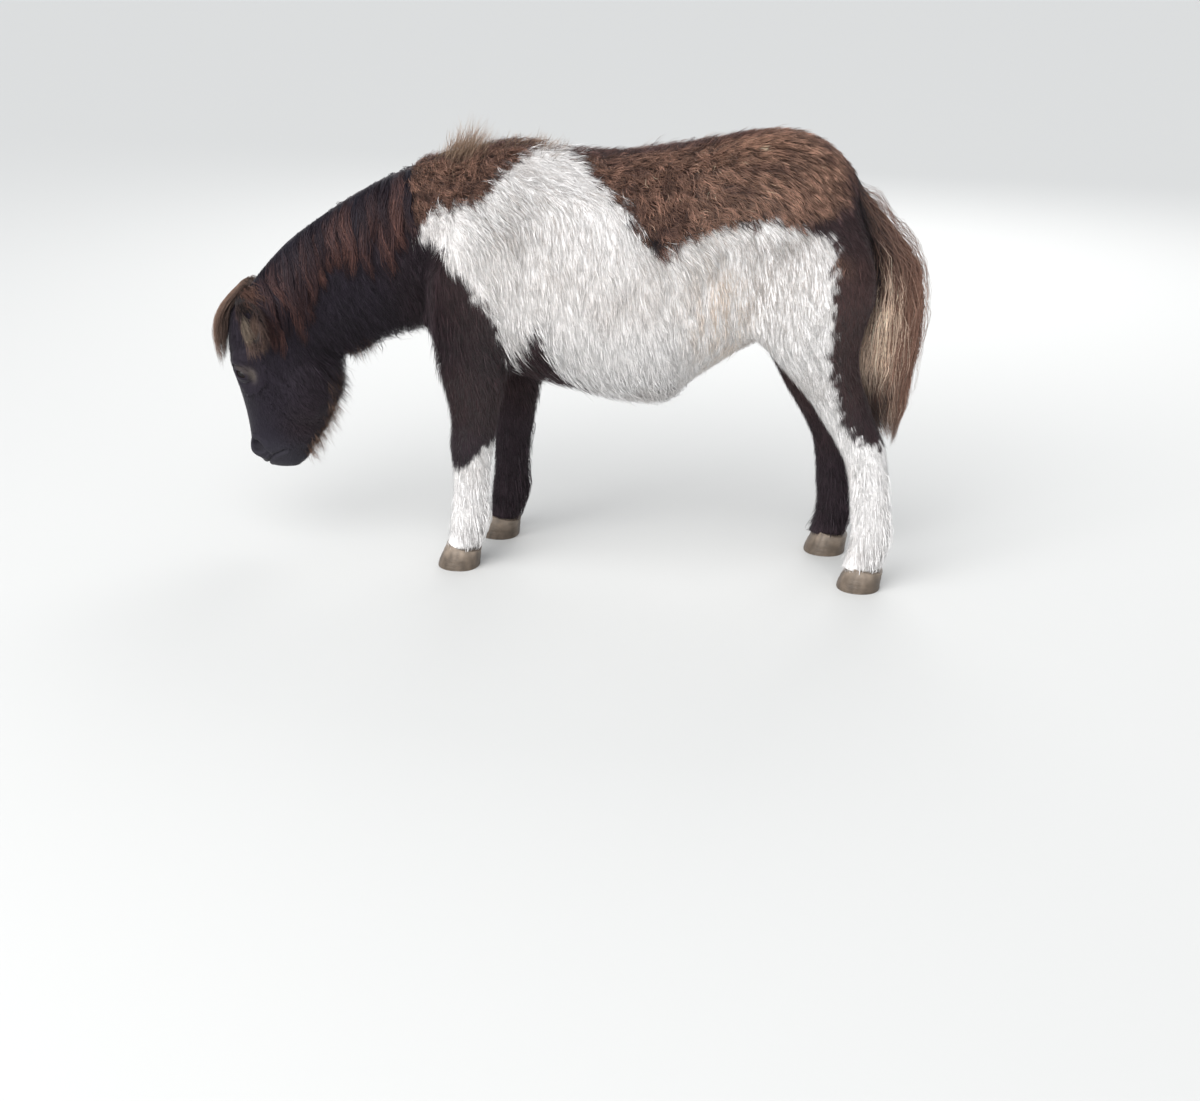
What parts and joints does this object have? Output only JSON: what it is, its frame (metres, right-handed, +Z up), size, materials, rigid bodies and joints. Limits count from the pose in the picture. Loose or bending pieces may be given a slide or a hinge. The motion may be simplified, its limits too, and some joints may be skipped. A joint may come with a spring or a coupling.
{
  "type": "shetland pony",
  "caption": "Still, life-size young Shetland pony that stands and grazes with its head lowered, parted into head, neck, torso, legs and tail.",
  "frame": {"origin": "on the floor under the middle of the model's box", "axes": "+X towards the hindquarters (the pony faces -X), +Y to the pony's right side, +Z up"},
  "size_m": [1.3312, 0.4002, 0.837],
  "materials": {
    "dark_coat": "soft dark brown-black coat with red-brown tips",
    "white_coat": "long white coat that lies flat, with curly brown patches",
    "tail_hair": "long brown hair, black at the root",
    "horn": "grey-brown hoof horn with fine growth rings",
    "eye": "wet dark brown eye"
  },
  "bodies": {
    "root": {"head": "dark_coat", "neck": "dark_coat", "torso": "white_coat", "tail": "tail_hair", "leg_fore_left": "white_coat", "leg_fore_right": "dark_coat", "leg_hind_left": "white_coat", "leg_hind_right": "dark_coat", "ear_left": "dark_coat", "ear_right": "dark_coat", "eye_left": "eye", "eye_right": "eye", "hoof_fore_left": "horn", "hoof_fore_right": "horn", "hoof_hind_left": "horn", "hoof_hind_right": "horn"}
  },
  "joints": []
}
